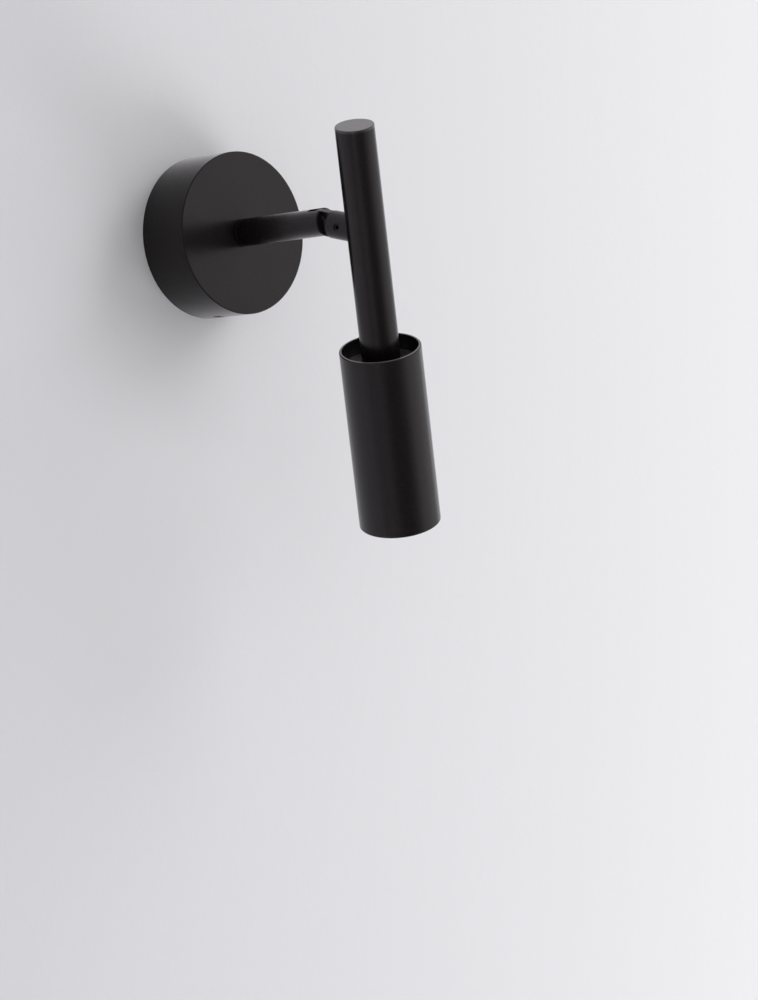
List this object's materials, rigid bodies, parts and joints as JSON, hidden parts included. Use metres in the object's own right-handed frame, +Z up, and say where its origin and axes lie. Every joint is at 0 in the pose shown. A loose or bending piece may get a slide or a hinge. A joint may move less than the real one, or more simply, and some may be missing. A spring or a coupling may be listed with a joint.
{
  "type": "pivoting spotlight wall light",
  "caption": "Matt black wall spotlight: a round canopy, a straight swivelling arm and an open knuckle joint that carries a round stem with a tubular lamp head.",
  "frame": {"origin": "centre of the canopy's back on the wall, midway between the two wall slots", "axes": "+Y into the wall, -Y out into the room, +Z up, +X to the right seen from the room"},
  "size_m": [0.1203, 0.1354, 0.1951],
  "materials": {
    "black_coated_aluminium": "matte",
    "black_coated_steel": "matte",
    "black_screw_steel": "satin",
    "zinc_plated_steel": "satin",
    "spring_steel": "satin",
    "turned_brass": "satin",
    "bearing_plastic": "matte",
    "white_case_plastic": "satin",
    "natural_nylon": "satin",
    "black_rubber": "matte",
    "foam_pad": "matte",
    "bare_aluminium": "satin",
    "board_coating": "satin",
    "phosphor_resin": "satin",
    "holder_plastic": "matte",
    "polished_reflector": "polished",
    "clear_glass": "gloss"
  },
  "bodies": {
    "canopy_body": {"mounting_plate": "zinc_plated_steel", "canopy": "black_coated_aluminium", "canopy_screws": "black_screw_steel", "cable_grommet": "black_rubber", "swivel_bush": "black_coated_steel", "stop_pin": "spring_steel", "led_driver": "white_case_plastic", "driver_pad": "foam_pad", "terminal_block": "natural_nylon", "terminal_screws": "zinc_plated_steel", "earth_screw": "turned_brass", "earth_washer": "zinc_plated_steel"},
    "arm_body": {"arm": "black_coated_steel", "arm_nipple": "zinc_plated_steel", "stop_washer": "spring_steel", "spring_washer": "spring_steel", "swivel_nut": "zinc_plated_steel", "lock_nut": "zinc_plated_steel", "pivot_screw": "black_screw_steel", "friction_washers": "bearing_plastic"},
    "head_body": {"knuckle": "black_coated_steel", "knuckle_grub_screw": "black_screw_steel", "stem_spigot": "zinc_plated_steel", "stem_insert": "bare_aluminium", "stem": "black_coated_aluminium", "stem_cap": "black_coated_aluminium", "stem_foot": "bare_aluminium", "head_tube": "black_coated_aluminium", "heat_sink": "bare_aluminium", "led_board": "board_coating", "led_emitter": "phosphor_resin", "led_holder": "holder_plastic", "board_screws": "zinc_plated_steel", "reflector": "polished_reflector", "lens_glass": "clear_glass", "bezel_ring": "black_coated_aluminium"}
  },
  "joints": [
    {"name": "arm_swivel", "type": "hinge", "parent": "canopy_body", "child": "arm_body", "pos_m": [0, 0, 0], "axis": [0, -1, 0], "range_deg": [-188.7, 141.3]},
    {"name": "head_tilt", "type": "hinge", "parent": "arm_body", "child": "head_body", "pos_m": [0, -0.0858, 0], "axis": [0.9157, 0, 0.4019], "range_deg": [-64.4, 21.6]}
  ]
}
